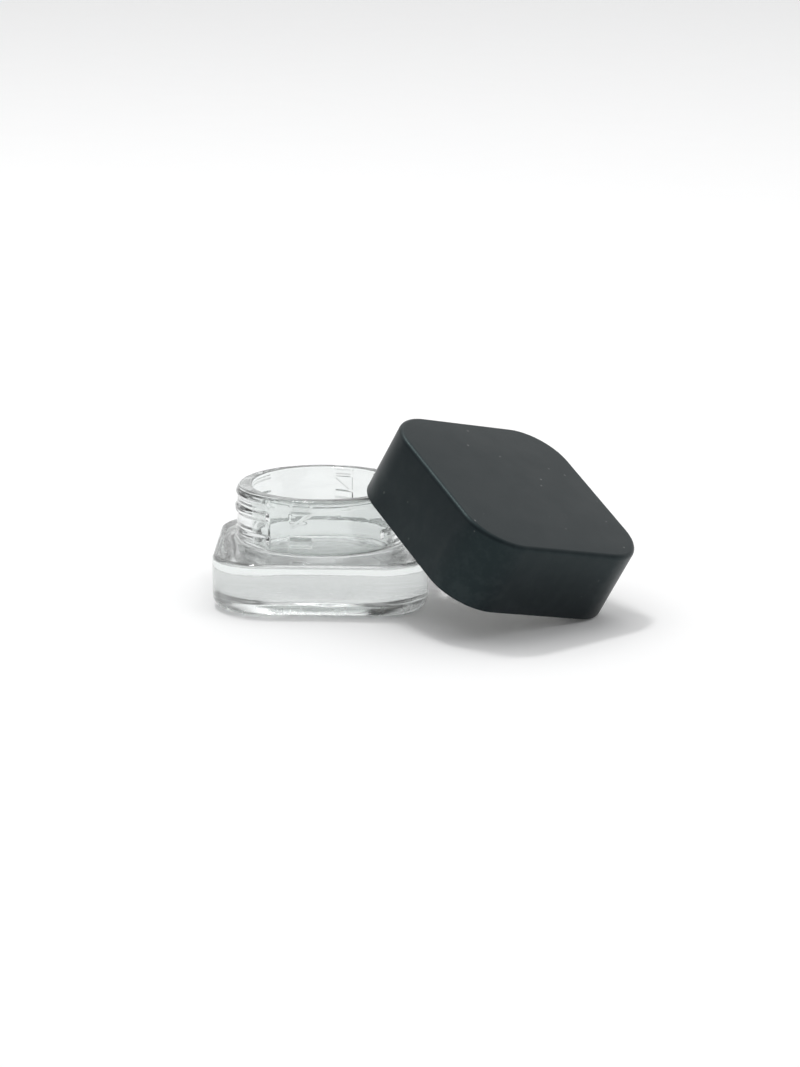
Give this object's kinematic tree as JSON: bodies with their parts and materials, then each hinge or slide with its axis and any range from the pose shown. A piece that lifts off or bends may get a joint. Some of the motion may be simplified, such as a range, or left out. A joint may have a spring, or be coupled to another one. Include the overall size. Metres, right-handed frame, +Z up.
{
  "type": "square glass jar with screw cap",
  "caption": "Small thick-walled square glass jar with a wide threaded neck, and its square black push-and-turn cap lying beside it.",
  "frame": {"origin": "centre of the jar's flat base, on the table", "axes": "+Z up along the jar's axis; X and Y square to the jar's sides, with the cap lying on the +X, -Y side"},
  "size_m": [0.0737, 0.0562, 0.0334],
  "materials": {
    "clear_glass": "clear, polished, faint grey-green in the thick base",
    "black_plastic": "fine satin moulding",
    "insert_plastic": "smooth moulding",
    "spring_plastic": "natural moulding",
    "liner_foam": "closed-cell foam with a smooth face"
  },
  "bodies": {
    "jar": {"glass_jar": "clear_glass"},
    "cap_shell": {"outer_shell": "black_plastic"},
    "cap_spring": {"spring_disc": "spring_plastic"},
    "cap_insert": {"inner_cap": "insert_plastic", "liner": "liner_foam"}
  },
  "joints": [
    {"name": "cap_lift", "type": "slide", "parent": "jar", "child": "cap_shell", "axis": [0, 0, 1], "range_m": [0, 0.05]},
    {"name": "insert_turn", "type": "hinge", "parent": "cap_shell", "child": "cap_spring", "pos_m": [0.0286, -0.01199, 0.01085], "axis": [0.4333, -0.2208, 0.8738], "continuous": true},
    {"name": "press_travel", "type": "slide", "parent": "cap_spring", "child": "cap_insert", "axis": [0.4333, -0.2208, 0.8738], "range_m": [0, 0.0013], "stiffness_N_per_m": 6000, "springref_m": -0.0005, "deforming": ["spring_disc"]}
  ]
}
